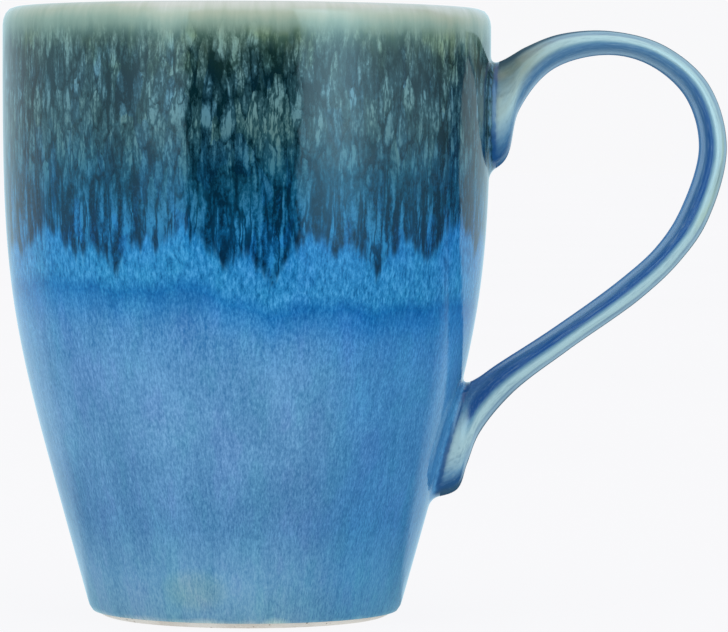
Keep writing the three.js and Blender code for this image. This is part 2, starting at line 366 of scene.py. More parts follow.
def seat(piece, nodes, material):
    """Puts the piece on the frame: what it rides on, what it stands for, and its finish."""
    piece.data.materials.append(material)
    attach(piece, "root")
    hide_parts(*nodes)


def around(points):
    """Angle round the cup in degrees, 0 at the front, growing towards the handle."""
    return np.degrees(np.arctan2(points[..., 0] - AXIS_X, -points[..., 1]))


def drip_depth(angle):
    """Sum over the drips of depth times a bell that is pointed at its tip and fades over the half width."""
    depth = np.zeros_like(angle)
    for middle, hang, half in FRONT_DRIPS + BACK_DRIPS:
        away = (angle - middle + 180) % 360 - 180
        depth += hang * np.exp(-(np.sqrt(away**2 + 0.5) - 0.7) / half)
    return depth


def wavering(angle, seed, waves=9):
    """A smooth wander round the cup: a seeded sum of whole waves, weaker as they get shorter."""
    dice = np.random.default_rng(seed)
    turns = np.arange(1, waves + 1)
    phase = dice.uniform(0, 2 * math.pi, waves)
    size = dice.uniform(0.4, 1.0, waves) / turns**0.7
    return (size * np.sin(np.radians(angle)[..., None] * turns + phase)).sum(axis=-1)


def glaze_fields(points):
    """Where the glaze patterns are read, in millimetres.

    flow is the point on an upright cylinder of the wall's radius, so that streaks follow the wall and never
    break at a seam. edge is the height of the dark glaze's dripping line at that angle, and sag the height of
    the deep blue line below it.
    """
    angle = around(points)
    radius = bpy.context.scene.mug_cup.wall_radius / MM
    turn = np.radians(angle)
    high = points[..., 2] / MM
    flow = np.stack([radius * np.sin(turn), -radius * np.cos(turn), high], axis=-1)
    drips = drip_depth(angle)
    edge = 72.0 - drips + 0.6 * wavering(angle, 3)
    sag = 60.0 - 1.8 * np.tanh(6 * np.sin(turn)) - 0.25 * drips + 0.3 * wavering(angle, 8, 5)
    return {"flow": flow, "edge": edge, "sag": sag}


# ---------------------------------------------------------------- materials


class Value:
    """A node's output. Arithmetic on it adds nodes; it meets numbers, colours and other Values."""

    def __init__(self, recipe, socket):
        self.recipe = recipe
        self.socket = socket

    def maths(self, operation, second=0.0, third=0.0, clamp=False):
        return self.recipe.maths(operation, self, second, third, clamp)

    def __add__(self, other):
        return self.maths("ADD", other)

    def __sub__(self, other):
        return self.maths("SUBTRACT", other)

    def __rsub__(self, other):
        return self.recipe.maths("SUBTRACT", other, self)

    def __mul__(self, other):
        return self.maths("MULTIPLY", other)

    def __truediv__(self, other):
        return self.maths("DIVIDE", other)

    def scaled(self, by, plus):
        return self.maths("MULTIPLY_ADD", by, plus)

    def toward(self, other, share):
        """This value plus the share of the way from it to the other."""
        return (other - self).maths("MULTIPLY_ADD", share, self)

    def step(self, low, high, to_low=0.0, to_high=1.0):
        """Eased from to_low where this value is low to to_high where it is high."""
        inputs = {"Value": self, "From Min": low, "From Max": high, "To Min": to_low, "To Max": to_high}
        return self.recipe.value("ShaderNodeMapRange", inputs, "Result", interpolation_type="SMOOTHSTEP")

    def blend(self, second, share):
        return self.recipe.blend(self, second, share)

    def tint(self, by, share=1.0):
        inputs = {0: share, 6: self, 7: by}
        return self.recipe.value("ShaderNodeMix", inputs, 2, data_type="RGBA", blend_type="MULTIPLY")

    def vector(self, operation, second):
        return self.recipe.value("ShaderNodeVectorMath", {0: self, 1: second}, operation=operation)

    def parts(self):
        made = self.recipe.node("ShaderNodeSeparateXYZ", {0: self})
        return [Value(self.recipe, socket) for socket in made.outputs]

    def stretched(self, across, along, shift=(0, 0, 0)):
        """This vector scaled so that a pattern is 1/across wide and 1/along tall."""
        inputs = {"Vector": self, "Scale": (across, across, along), "Location": shift}
        return self.recipe.value("ShaderNodeMapping", inputs)

    def noise(self, across, along, detail=3.0, roughness=0.55, shift=(0, 0, 0), output="Fac"):
        """Cloudy noise, 1/across wide and 1/along tall."""
        place = self.stretched(across, along, shift)
        inputs = {"Vector": place, "Scale": 1.0, "Detail": detail, "Roughness": roughness}
        return self.recipe.value("ShaderNodeTexNoise", inputs, output)

    def cells(self, *outputs):
        """The wanted outputs of a pattern of scattered cells, each about 1 wide."""
        made = self.recipe.node("ShaderNodeTexVoronoi", {"Vector": self, "Scale": 1.0})
        return [Value(self.recipe, made.outputs[output]) for output in outputs]

    def ramp(self, stops):
        made = self.recipe.node("ShaderNodeValToRGB", {0: self})
        elements = made.color_ramp.elements
        elements[0].position, elements[1].position = stops[0][0], stops[-1][0]
        elements[0].color, elements[1].color = (*stops[0][1], 1), (*stops[-1][1], 1)
        for place, colour in stops[1:-1]:
            elements.new(place).color = (*colour, 1)
        return Value(self.recipe, made.outputs[0])


class Recipe:
    """A material's nodes, added one at a time."""

    def __init__(self, name):
        self.material = bpy.data.materials.new(name)
        self.material.use_nodes = True
        self.tree = self.material.node_tree
        self.tree.nodes.clear()

    def feed(self, socket, value):
        """A Value or another node's output is linked; a number or a colour is set."""
        if isinstance(value, Value):
            value = value.socket
        if isinstance(value, bpy.types.NodeSocket):
            self.tree.links.new(value, socket)
        elif isinstance(value, tuple) and len(value) == 3 and socket.type == "RGBA":
            socket.default_value = (*value, 1)
        else:
            socket.default_value = value

    def node(self, kind, inputs=None, **settings):
        made = self.tree.nodes.new(kind)
        for key, setting in settings.items():
            setattr(made, key, setting)
        for key, value in (inputs or {}).items():
            self.feed(made.inputs[key], value)
        return made

    def value(self, kind, inputs=None, output=0, **settings):
        return Value(self, self.node(kind, inputs, **settings).outputs[output])

    def maths(self, operation, first, second=0.0, third=0.0, clamp=False):
        inputs = {0: first, 1: second, 2: third}
        return self.value("ShaderNodeMath", inputs, operation=operation, use_clamp=clamp)

    def blend(self, first, second, share):
        inputs = {0: share, 6: first, 7: second}
        return self.value("ShaderNodeMix", inputs, 2, data_type="RGBA", clamp_factor=True)

    def field(self, name, output="Fac"):
        return self.value("ShaderNodeAttribute", None, output, attribute_name=name, attribute_type="GEOMETRY")

    def place(self):
        return self.value("ShaderNodeTexCoord", None, "Object")

    def finish(self, colour, roughness, height, depth, ior=1.5, shine=0.5):
        """The shader itself, with a bump whose height reaches the given depth in metres."""
        bump = self.node("ShaderNodeBump", {"Height": height, "Distance": depth, "Strength": 1.0})
        inputs = {"Base Color": colour, "Roughness": roughness, "Normal": bump.outputs[0], "IOR": ior}
        shader = self.node("ShaderNodeBsdfPrincipled", inputs | {"Specular IOR Level": shine})
        self.node("ShaderNodeOutputMaterial", {0: shader.outputs[0]})
        return self.material


# Heights in millimetres with three colours each: the dark melt, the body of the glaze, and its pale flecks.
UPPER_ZONES = (
    ("drip tips", 60.0, (0, 40, 68), (8, 78, 122), (36, 122, 176)),
    ("drips", 68.0, (0, 36, 62), (8, 78, 122), (38, 122, 172)),
    ("streaks", 75.0, (0, 34, 54), (8, 74, 106), (44, 112, 150)),
    ("lower flecks", 81.0, (0, 32, 48), (18, 72, 94), (54, 108, 126)),
    ("flecks", 88.0, (0, 30, 38), (38, 76, 86), (78, 116, 122)),
    ("dark band", 96.0, (2, 30, 38), (34, 68, 78), (88, 130, 142)),
    ("shoulder", 101.0, (16, 40, 40), (52, 82, 84), (96, 132, 134)),
    ("olive band", 104.3, (58, 86, 78), (95, 123, 113), (118, 150, 140)),
    ("under the rim", 106.3, (102, 126, 114), (125, 150, 137), (140, 162, 148)),
    ("rim", 108.0, (148, 166, 152), (157, 170, 154), (164, 177, 163)),
    ("crest", 110.0, (178, 188, 181), (192, 197, 194), (218, 223, 221)),
)
LOWER_ZONES = (
    ("foot line", 0.3, (150, 178, 178), (178, 200, 196), (200, 216, 210)),
    ("foot corner", 1.7, (66, 112, 146), (92, 138, 168), (112, 156, 178)),
    ("low foot", 9.0, (64, 118, 158), (90, 140, 176), (112, 158, 188)),
    ("low belly", 18.0, (51, 102, 148), (74, 125, 168), (95, 148, 192)),
    ("belly", 36.0, (62, 114, 158), (84, 135, 178), (110, 160, 200)),
    ("upper belly", 46.0, (56, 112, 158), (82, 134, 179), (104, 158, 202)),
    ("below the line", 53.0, (40, 104, 158), (70, 128, 176), (94, 154, 204)),
    ("under the line", 57.0, (22, 94, 152), (48, 118, 174), (72, 142, 196)),
    ("deep blue line", 59.6, (4, 78, 138), (22, 102, 162), (46, 130, 188)),
    ("halo", 62.2, (8, 86, 138), (40, 124, 178), (76, 156, 208)),
    ("upper halo", 70.0, (4, 80, 134), (28, 114, 172), (60, 144, 202)),
)

RAMP_TOP = 120.0


def zone_ramps(high, zones):
    """Three ramps over the height, one for each of the zones' colours."""
    share = high / RAMP_TOP
    return [share.ramp([(zone[1] / RAMP_TOP, srgb(*zone[part])) for zone in zones]) for part in (2, 3, 4)]


def three_way(dark, body, pale, share):
    """Dark at 0, body at 0.5 and pale at 1."""
    lower = dark.blend(body, share.maths("MULTIPLY", 2.0, clamp=True))
    return lower.blend(pale, share.maths("MULTIPLY_ADD", 2.0, -1.0, clamp=True))


def tadpoles(space, width, tallness):
    """Pale cells with round bottoms and tails that run up, and a number drawn for each cell.

    The space is cut into cells by scattered centres. A point's level distance from its centre is squared,
    grows with the rise above the centre, and is added to the squares of the rise and of the fall. The fall
    counts more than twice the rise. The root of the sum is compared with the cell's own size.
    """
    scaled = space.stretched(1 / width, 1 / tallness)
    centre, drawn = scaled.cells("Position", "Color")
    x, y, z = scaled.vector("SUBTRACT", centre).parts()
    rise = z.maths("MAXIMUM", 0.0) * 0.75
    fall = z.maths("MINIMUM", 0.0) * 1.8
    tapered = (x * x + y * y) * rise.scaled(1.6, 1.0)
    away = (tapered + (rise * rise + fall * fall)).maths("SQRT")
    luck, other, _ = drawn.parts()
    shown = (away / luck.scaled(0.30, 0.50)).step(1.25, 0.45)
    return shown * other.scaled(0.75, 0.35), luck


def shifted(vector, by, across, along):
    """The vector pushed about by a soft noise, further across or along."""
    centred = by.vector("SUBTRACT", (0.5, 0.5, 0.5))
    return vector.vector("ADD", centred.vector("MULTIPLY", (across, across, along)))


def cut_by(noise, width, floor):
    """Down to the floor in thin lines that wind along the noise's middle level, and 1 away from them."""
    return (noise - 0.5).maths("ABSOLUTE").step(0.0, width, floor, 1.0)


def upper_glaze(flow, high):
    """The dark glaze: tadpole cells over the shoulder that give way to long streaks above the drips.

    A share from dark to pale adds the cells, soft streaks, a fine thread and wide clusters, is cut by thin
    veins, and picks between the three colours of its height.
    """
    warp = flow.noise(0.34, 0.10, 1.5, output="Color")
    frizz = flow.noise(1.6, 0.7, 2.0, shift=(1, 2, 3), output="Color")
    bent = shifted(shifted(flow, warp, 1.6, 6.0), frizz, 0.45, 0.9)
    big, luck = tadpoles(bent, 2.1, 6.6)
    small, _ = tadpoles(bent, 1.15, 4.6)
    soft = bent.noise(1.2, 0.12, 4.0, 0.66)
    thread = flow.noise(2.4, 1.3, 3.0, 0.75)
    cluster = flow.noise(0.15, 0.10, 2.0, shift=(11, 4, 7))
    columns = bent.noise(0.62, 0.060, 2.0, 0.5, (7, 7, 2))
    beads = flow.noise(1.3, 0.5, 2.0, 0.6, (1, 8, 3))
    low_down = (high + columns.scaled(14.0, -7.0)).step(84.0, 74.0)
    veined = cut_by(bent.noise(0.80, 0.15, 3.0, 0.55, (4, 1, 6)), 0.07, 0.38)
    furrowed = cut_by(bent.noise(0.50, 0.05, 2.0, 0.5, (5, 3, 1)), 0.05, 0.15)

    cells = big.maths("MAXIMUM", small * 0.8)
    flecked = cells * 0.78 + soft.step(0.3, 0.72) * 0.42 + cluster.scaled(0.9, -0.45)
    flecked = (flecked - high.step(90.0, 100.0) * 0.16).scaled(1.3, -0.20)
    streaked = columns.step(0.36, 0.64) * 0.85 + small * 0.25 + beads.scaled(0.8, -0.40)
    share = flecked.toward(streaked, low_down) + thread.scaled(1.5, -0.75)
    share = share.maths("ADD", 0.0, clamp=True) * veined.toward(furrowed, low_down)
    share = share.toward(0.5, high.step(103.0, 106.5, 0.0, 0.85))

    wander = flow.noise(0.30, 0.05, 4.0, 0.62, (3, 9, 1))
    left_side = flow.parts()[0].step(-14.0, -26.0)
    calm = high.step(104.0, 107.5, 1.0, 0.4)
    lifted = high + wander.scaled(7.0, -3.5) * calm + left_side * -1.2
    colour = three_way(*zone_ramps(lifted, UPPER_ZONES), share)
    under_rim = high.step(104.5, 100.5)
    warm = luck.step(0.55, 0.85) * (high.step(78.0, 88.0) * under_rim)
    cold = luck.step(0.35, 0.10) * (under_rim * 0.8)
    colour = colour.tint((1.14, 1.03, 0.92), warm * 0.8).tint((0.80, 0.96, 1.12), cold)
    stain = flow.noise(0.22, 0.12, 3.0, 0.6, (9, 3, 2))
    olive = stain.step(0.48, 0.66) * (high.step(95.0, 100.0) * high.step(106.5, 103.5))
    return colour.tint((1.04, 0.98, 0.72), olive * 0.75), columns


def lower_glaze(flow, high, sag):
    """The blue glaze: a mottled halo under the drips, a deep blue line, then a fine fur down the belly."""
    x = flow.parts()[0]
    wide = flow.noise(0.07, 0.035, 2.0)
    mottle = flow.noise(1.5, 0.55, 4.0, 0.68)
    fur = flow.noise(2.6, 1.2, 3.0, 0.72)
    brush = flow.noise(1.0, 0.22, 3.0, 0.6, (6, 2, 3))
    patch = flow.noise(0.09, 0.06, 2.0, shift=(5, 2, 8))
    in_halo = (high - sag + brush.scaled(3.0, -1.5)).step(-1.2, 1.2)
    furred = fur.scaled(2.3, -0.65) + (brush.scaled(0.8, -0.4) + patch.scaled(0.9, -0.45))
    mottled = mottle.scaled(2.4, -0.7) + fur.scaled(1.4, -0.7)
    share = furred.toward(mottled, in_halo).maths("ADD", 0.0, clamp=True)
    sagged = high + (60.5 - sag) * high.step(40.0, 56.0) + wide.scaled(3.0, -1.5)
    colour = three_way(*zone_ramps(sagged, LOWER_ZONES), share)
    cloud = flow.noise(0.14, 0.08, 3.0, 0.6, (8, 8, 3))
    colour = colour.tint((0.94, 1.03, 0.98), cloud.step(0.50, 0.66))
    colour = colour.tint((1.07, 0.97, 1.02), cloud.step(0.48, 0.34))
    # Painted reflection: a warm pale patch low on the left front stands in for the floor's light in the gloss.
    level, rise = x.scaled(1 / 9, 12 / 9), high.scaled(1 / 4, -7 / 4)
    painted_reflection_patch = (level * level + rise * rise).step(1.3, 0.0)
    colour = colour.tint((1.16, 1.03, 0.88), painted_reflection_patch)
    # Painted shade: below the line the belly is darker towards the handle side, where less light falls.
    painted_shade_side = (x + patch.scaled(16.0, -8.0)).step(8.0, 30.0)
    return colour.tint((0.52, 0.82, 0.96), painted_shade_side * high.step(59.0, 54.0, 0.15, 1.0))


def reactive_pattern(recipe):
    """Colour and relief of the outside glaze, read from the flow, edge and sag fields."""
    flow = recipe.field("flow", "Vector")
    high = flow.parts()[2]
    upper, columns = upper_glaze(flow, high)
    lower = lower_glaze(flow, high, recipe.field("sag"))
    ragged = flow.noise(0.5, 0.08, 3.0, 0.6, (2, 5, 9))
    above = high - recipe.field("edge") + ragged.scaled(5.8, -2.9)
    frayed = above + columns.scaled(-4.0, 2.0)
    rim_of_drip = frayed.step(-0.8, 0.5) * frayed.step(2.6, 1.0)
    colour = lower.blend(upper, frayed.step(-1.9, 1.4))
    colour = colour.tint((0.50, 0.60, 0.64), rim_of_drip * 0.5)
    peel = flow.noise(0.35, 0.22, 2.0, 0.5)
    return colour, peel * 0.8 + columns * 0.10


def outside_material():
    recipe = Recipe("reactive glaze")
    colour, relief = reactive_pattern(recipe)
    gloss = recipe.field("flow", "Vector").noise(0.6, 0.3).scaled(0.06, 0.05)
    return recipe.finish(colour, gloss, relief, 0.00006)


def strap_pattern(recipe):
    """Colour of the strap's glaze, with light painted across its section: a pale band of painted reflection over
    the outer half, the glaze's own blue towards the inner edge, a paler inner edge that is painted reflection
    too, and a dark line of painted shade along the outer edge.

    Near the wall the pale band of painted reflection moves inwards and the glaze pools dark on both sides of it.
    At the upper root the outer side is grey-green, with a beige stain.
    """
    colours = bpy.context.scene.mug_colours
    # pale is the painted reflection on the strap's side; blue is the glaze's own colour.
    pale, blue = tuple(colours.strap_painted_sheen), tuple(colours.strap_blue)
    side, run, near = (recipe.field(name) for name in ("side", "run", "near"))
    grain = recipe.field("grain", "Vector")
    streak = grain.noise(1.0, 0.10, 4.0, 0.6)
    fine = grain.noise(2.6, 0.5, 3.0, 0.6)
    drift = grain.noise(0.25, 0.05, 2.0, shift=(3, 3, 3))
    across = side + streak.scaled(0.12, -0.06) + drift.scaled(0.12, -0.06)
    # Painted light across the section, outer edge at 0 and inner edge at 1: a darker outer edge of painted
    # shade, a pale band of painted reflection from 0.25 to 0.40, the glaze's own blue from 0.59 to 0.71, and a
    # paler inner edge of painted reflection.
    loop = across.ramp((
        (0.0, srgb(96, 130, 148)), (0.10, srgb(112, 148, 172)), (0.17, srgb(118, 152, 174)),
        (0.25, pale), (0.40, pale), (0.50, srgb(100, 142, 166)), (0.59, blue), (0.71, blue),
        (0.84, srgb(68, 114, 158)), (0.94, srgb(88, 136, 184)), (1.0, srgb(90, 142, 190)),
    ))
    # Near the roots the pale middle is painted reflection too, with the glaze pooled dark blue on both sides.
    root = across.ramp((
        (0.0, srgb(34, 72, 108)), (0.12, srgb(36, 84, 132)), (0.22, srgb(96, 142, 174)), (0.36, pale),
        (0.56, pale), (0.78, srgb(84, 132, 166)), (0.90, srgb(36, 84, 132)), (1.0, srgb(60, 110, 150)),
    ))
    teal = across.step(0.45, 0.60) * run.step(0.46, 0.30)
    loop = loop.blend(srgb(84, 128, 160), teal * 0.75)
    colour = loop.blend(root, run.step(0.15, 0.09).maths("MAXIMUM", run.step(0.86, 0.93)))
    shoulder = across.step(0.36, 0.16) * run.step(0.15, 0.08)
    colour = colour.blend(srgb(112, 140, 142), shoulder * 0.75)
    colour = colour.blend(srgb(30, 82, 136), near.step(2.1, 1.2) * 0.6)
    shade = fine.scaled(0.9, -0.45) + streak.scaled(1.0, -0.5)
    colour = colour.blend(srgb(26, 66, 108), shade.maths("MULTIPLY", -1.0, clamp=True))
    colour = colour.blend(srgb(172, 202, 206), shade.maths("MULTIPLY", 0.6, clamp=True))
    top_half = run.step(0.0, 0.02) * run.step(0.24, 0.10)
    beige = across.step(0.75, 0.35) * (top_half * drift.step(0.30, 0.60))
    colour = colour.blend(srgb(132, 142, 118), beige * 0.6)
    on_loop = run.step(0.24, 0.32) * run.step(0.62, 0.50)
    green = drift.step(0.46, 0.60) * (across.step(0.50, 0.30) * on_loop)
    colour = colour.tint((1.06, 1.0, 0.78), green * 0.8)
    # Painted shade: a dark slate line along the outer edge, where the section turns away from the light.
    return colour.blend(srgb(54, 86, 108), side.step(0.10, 0.035) * 0.75), streak


def strap_material():
    """The coat has little shine along its two edges, where it breaks thin and dry."""
    recipe = Recipe("strap glaze")
    colour, streak = strap_pattern(recipe)
    side = recipe.field("side")
    shine = side.step(0.05, 0.12, 0.0, 0.36) * side.step(0.98, 0.88)
    return recipe.finish(colour, streak.scaled(0.06, 0.07), streak, 0.00004, shine=shine)


def joint_material():
    """The wall's glaze running up the fillet, with a blue groove and a faint bead next to the strap."""
    recipe = Recipe("joint glaze")
    wall, relief = reactive_pattern(recipe)
    strap, _ = strap_pattern(recipe)
    flow = recipe.field("flow", "Vector")
    wavy = recipe.field("climb") + flow.noise(0.8, 0.8).scaled(0.3, -0.15)
    colour = wall.blend(strap, wavy.step(0.62, 0.95))
    broken = flow.noise(0.9, 0.5, shift=(2, 2, 2)).step(0.38, 0.56)
    bead = wavy.step(0.30, 0.46) * wavy.step(0.66, 0.54) * broken
    colour = colour.blend(srgb(96, 156, 200), bead * 0.35)
    groove = wavy.step(0.60, 0.78) * wavy.step(1.06, 0.88)
    return recipe.finish(colour.blend(srgb(20, 72, 126), groove * 0.7), 0.09, relief, 0.00006)


def liner_material(colours):
    """Inside glaze: pale at the rim, streaked down the wall and pooling darker on the floor."""
    recipe = Recipe("inside glaze")
    flow = recipe.field("flow", "Vector")
    high = flow.parts()[2]
    streak = flow.noise(0.8, 0.10, 4.0, 0.6)
    cloud = recipe.place().noise(260.0, 260.0, 4.0, 0.6)
    wall = recipe.blend(tuple(colours.liner), srgb(84, 128, 150), streak.step(0.42, 0.7))
    wall = wall.blend(srgb(150, 180, 184), streak.step(0.5, 0.25))
    pool = recipe.blend(tuple(colours.liner_pool), srgb(84, 140, 168), cloud.step(0.35, 0.7))
    colour = pool.blend(wall, (high + streak.scaled(10.0, -5.0)).step(9.0, 30.0))
    rim = ((high + streak.scaled(3.0, -1.5) - 100.0) / 12.0).ramp((
        (0.0, srgb(120, 150, 150)), (0.45, srgb(150, 172, 160)),
        (0.66, srgb(170, 186, 168)), (0.84, srgb(198, 206, 200)),
    ))
    colour = colour.blend(rim, high.step(98.0, 106.0))
    return recipe.finish(colour, streak.scaled(0.06, 0.06), streak, 0.00005)


def recess_material():
    """Glaze pooled under the foot, cloudy and darker towards its rim."""
    recipe = Recipe("recess glaze")
    cloud = recipe.place().noise(300.0, 300.0, 4.0, 0.6)
    colour = recipe.blend(srgb(64, 118, 164), srgb(110, 156, 190), cloud.step(0.35, 0.68))
    colour = colour.blend(srgb(44, 88, 126), recipe.field("rim") * 0.7)
    return recipe.finish(colour, cloud.scaled(0.08, 0.08), cloud, 0.00005)


def clay_material(colours):
    """Bare fired stoneware: warm grain, a few iron specks, and a dry surface."""
    recipe = Recipe("fired clay")
    place = recipe.place()
    grain = place.noise(1400.0, 1400.0, 4.0, 0.65)
    cloud = place.noise(120.0, 120.0, 2.0)
    specks = place.stretched(620.0, 620.0).cells("Distance")[0]
    colour = recipe.blend(tuple(colours.clay), srgb(200, 196, 186), cloud.step(0.4, 0.65))
    colour = colour.blend(srgb(226, 223, 216), grain.step(0.5, 0.75) * 0.5)
    colour = colour.blend(tuple(colours.clay_speck), specks.step(0.16, 0.09))
    return recipe.finish(colour, grain.scaled(0.2, 0.7), grain, 0.00012, ior=1.45)


def paper_tone(recipe, colour):
    """Paper: a colour with a faint, wide unevenness."""
    uneven = recipe.place().noise(3.0, 3.0, 2.0)
    return recipe.blend(colour, tuple(part * 0.985 for part in colour), uneven)


# ---------------------------------------------------------------- the strap


# Rough sizes of the strap in millimetres, which set how long its streaks are.
STRAP_DEPTH = 5
STRAP_LENGTH = 190


def rail(points, run):
    """A smooth curve through the points, a cubic on each stretch, its slopes set by the root of the spacing."""
    knots = np.array(points) * MM
    reached = run * (len(knots) - 1)
    index = np.minimum(reached.astype(int), len(knots) - 2)
    share = (reached - index)[..., None]
    padded = np.vstack([2 * knots[0] - knots[1], knots, 2 * knots[-1] - knots[-2]])
    before, start, end, past = (padded[index + offset] for offset in range(4))
    pairs = ((before, start), (start, end), (end, past))
    lead, gap, trail = (np.sqrt(np.linalg.norm(b - a, axis=-1))[..., None] for a, b in pairs)
    leave = ((start - before) / lead - (end - before) / (lead + gap) + (end - start) / gap) * gap
    arrive = ((end - start) / gap - (past - start) / (gap + trail) + (past - end) / trail) * gap
    cubic = 2 * start - 2 * end + leave + arrive
    square = -3 * start + 3 * end - 2 * leave - arrive
    return start + share * leave + share**2 * square + share**3 * cubic


def strap_point(strap, run, angle, inset=0.0):
    """The point of the strap's skin at a run from root to root and an angle round its section.

    The section is a squared ellipse: its long half is half the strap's width, which grows by a square law
    towards either root, and its short half is half the distance between the two rails.
    """
    outer, inner = rail(OUTER_RAIL, run), rail(INNER_RAIL, run)
    middle, half = (outer + inner) / 2, (outer - inner) / 2
    span = np.linalg.norm(half, axis=-1)[..., None]
    wide, deep = squared(np.sin(angle), strap), squared(np.cos(angle), strap)
    upper = np.maximum(0, 1 - run / strap.upper_share)
    lower = np.maximum(0, 1 - (1 - run) / strap.lower_share)
    width = (strap.width + (strap.root_width - strap.width) * (upper**2 + lower**2)) / 2 - inset
    place = middle + half / span * (span - inset) * deep[..., None]
    return np.stack([AXIS_X + place[..., 0], width * wide, place[..., 1]], axis=-1)


def wall_radius_at(cup, high):
    line = outside_line(cup, cup.glaze_stop)
    return np.interp(high, line[:, 1], line[:, 0])


def above_wall(cup, points):
    """How far a point stands out of the glazed wall, measured level."""
    return np.hypot(points[..., 0] - AXIS_X, points[..., 1]) - wall_radius_at(cup, points[..., 2])


def run_where(cup, strap, angle, height, lower_end, inset=0.0):
    """For each angle, the run nearest the given root where the strap's skin stands this high off the wall."""
    runs = np.linspace(0, 1, 1601)
    if lower_end:
        runs = runs[::-1]
    level = above_wall(cup, strap_point(strap, runs[:, None] + 0 * angle, angle + 0 * runs[:, None], inset))
    out = np.argmax(level > height, axis=0)
    columns = np.arange(angle.size)
    low, high = level[out - 1, columns], level[out, columns]
    return runs[out - 1] + (runs[out] - runs[out - 1]) * (height - low) / (high - low)


def even_angles(sides):
    """Even angles round the strap's section, from the middle of its outer face."""
    return 2 * math.pi * np.arange(sides) / sides


def squared(value, strap):
    """A cosine or sine brought to the power that makes an ellipse squarer, with its sign kept."""
    return np.sign(value) * np.abs(value) ** (2 / strap.squareness)


def strap_fields(cup, strap, points, run, angle):
    """Where the strap's patterns are read.

    side is 0 on the outer face and 1 on the inner one. run is 0 at the upper root and 1 at the lower. grain
    has the strap's width, depth and length as its axes. near is how far the wall is in millimetres, rounded
    so that every run of this script gives the same value.
    """
    deep = squared(np.cos(angle), strap)
    grain = np.stack([points[..., 1] / MM, STRAP_DEPTH * deep, STRAP_LENGTH * run], axis=-1)
    near = np.round(above_wall(cup, points) / MM, 6)
    return {"side": (1 - deep) / 2, "run": run + 0 * deep, "grain": grain, "near": near}


# ---------------------------------------------------------------- operators


class MugOperator(bpy.types.Operator):
    bl_options = {"REGISTER", "UNDO"}


class MUG_OT_clay(MugOperator):
    """The fired clay: the turned cup with its foot ring, and the strap's core"""

    bl_idname = "mug.clay"
    bl_label = "Clay"

    def execute(self, context):
        cup = context.scene.mug_cup
        depth = cup.glaze + cup.gap
        slope = cup.cone_slope
        base = cup.cone_base - depth * math.hypot(1, slope)
        corner = (base - cup.foot_outside) / (math.hypot(1, slope) - slope)
        centre = corner_centre(base, slope, 0, corner)
        foot = arc(centre, corner, corner, -90 * DEGREE, -math.atan(slope))
        outside = sunk(outside_line(cup, -math.atan(slope) - 0.01), depth)[ARC_STEPS:]
        inside = sunk(inside_line(cup), depth)[1:]
        recess = np.array([(POLE_RADIUS, cup.recess_height), (cup.recess_radius, cup.recess_height)])
        round_edge = 0.6 * MM
        centre = (cup.foot_inside + round_edge, round_edge)
        bevel = arc(centre, round_edge, round_edge, 200 * DEGREE, 270 * DEGREE, 12)
        section = np.vstack([
            evenly(recess, 12), evenly(bevel, 8), evenly(foot, 24),
            evenly(outside, 70), evenly(inside, 80)[:-1],
        ])
        first = (AXIS_X, 0, cup.recess_height)
        last = (AXIS_X, 0, cup.floor_top - depth)
        piece = weave("clay_cup", turned(section, 192), first_pole=first, last_pole=last)
        material = clay_material(context.scene.mug_colours)
        seat(piece, ["body"], material)
        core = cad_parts["handle"]
        core.data.materials.clear()
        core.data.materials.append(material)
        return {"FINISHED"}


class MUG_OT_outside_glaze(MugOperator):
    """The outside coat, from the foot line up to the lip's crest and back down its hidden face"""

    bl_idname = "mug.outside_glaze"
    bl_label = "Outside glaze"

    def execute(self, context):
        cup = context.scene.mug_cup
        line = outside_line(cup, cup.glaze_stop)
        seen = evenly(line, 110)
        back = evenly(sunk(line, cup.glaze), 40)[::-1]
        middle, half = (seen[0] + back[-1]) / 2, cup.glaze / 2
        bead = arc(middle, half, half, cup.glaze_stop + math.pi, cup.glaze_stop + 2 * math.pi, 9)[1:-1]
        rows = turned(np.vstack([seen, back, bead]), 384)
        shares = map_shares(len(seen) - 1, len(back) + 1, len(bead))
        creases = (len(seen) - 1, len(seen))
        fields = glaze_fields(rows)
        piece = weave("outside_glaze", rows, ring=True, fields=fields, creases=creases, shares=shares)
        seat(piece, ["outer_glaze"], outside_material())
        return {"FINISHED"}


class MUG_OT_inside_glaze(MugOperator):
    """The inside coat, from the lip's crest down over the floor and back under it"""

    bl_idname = "mug.inside_glaze"
    bl_label = "Inside glaze"

    def execute(self, context):
        cup = context.scene.mug_cup
        line = inside_line(cup)
        seen = evenly(line, 120)[:-1][::-1]
        hidden = evenly(sunk(line, cup.glaze), 50)[:-1]
        rows = turned(np.vstack([seen, hidden]), 256)
        piece = weave(
            "inside_glaze", rows, first_pole=(AXIS_X, 0, cup.floor_top),
            last_pole=(AXIS_X, 0, cup.floor_top - cup.glaze), fields=glaze_fields(rows),
            creases=(len(seen) - 1, len(seen)), shares=map_shares(len(seen) - 1, len(hidden) + 1),
        )
        seat(piece, ["liner_glaze"], liner_material(context.scene.mug_colours))
        return {"FINISHED"}


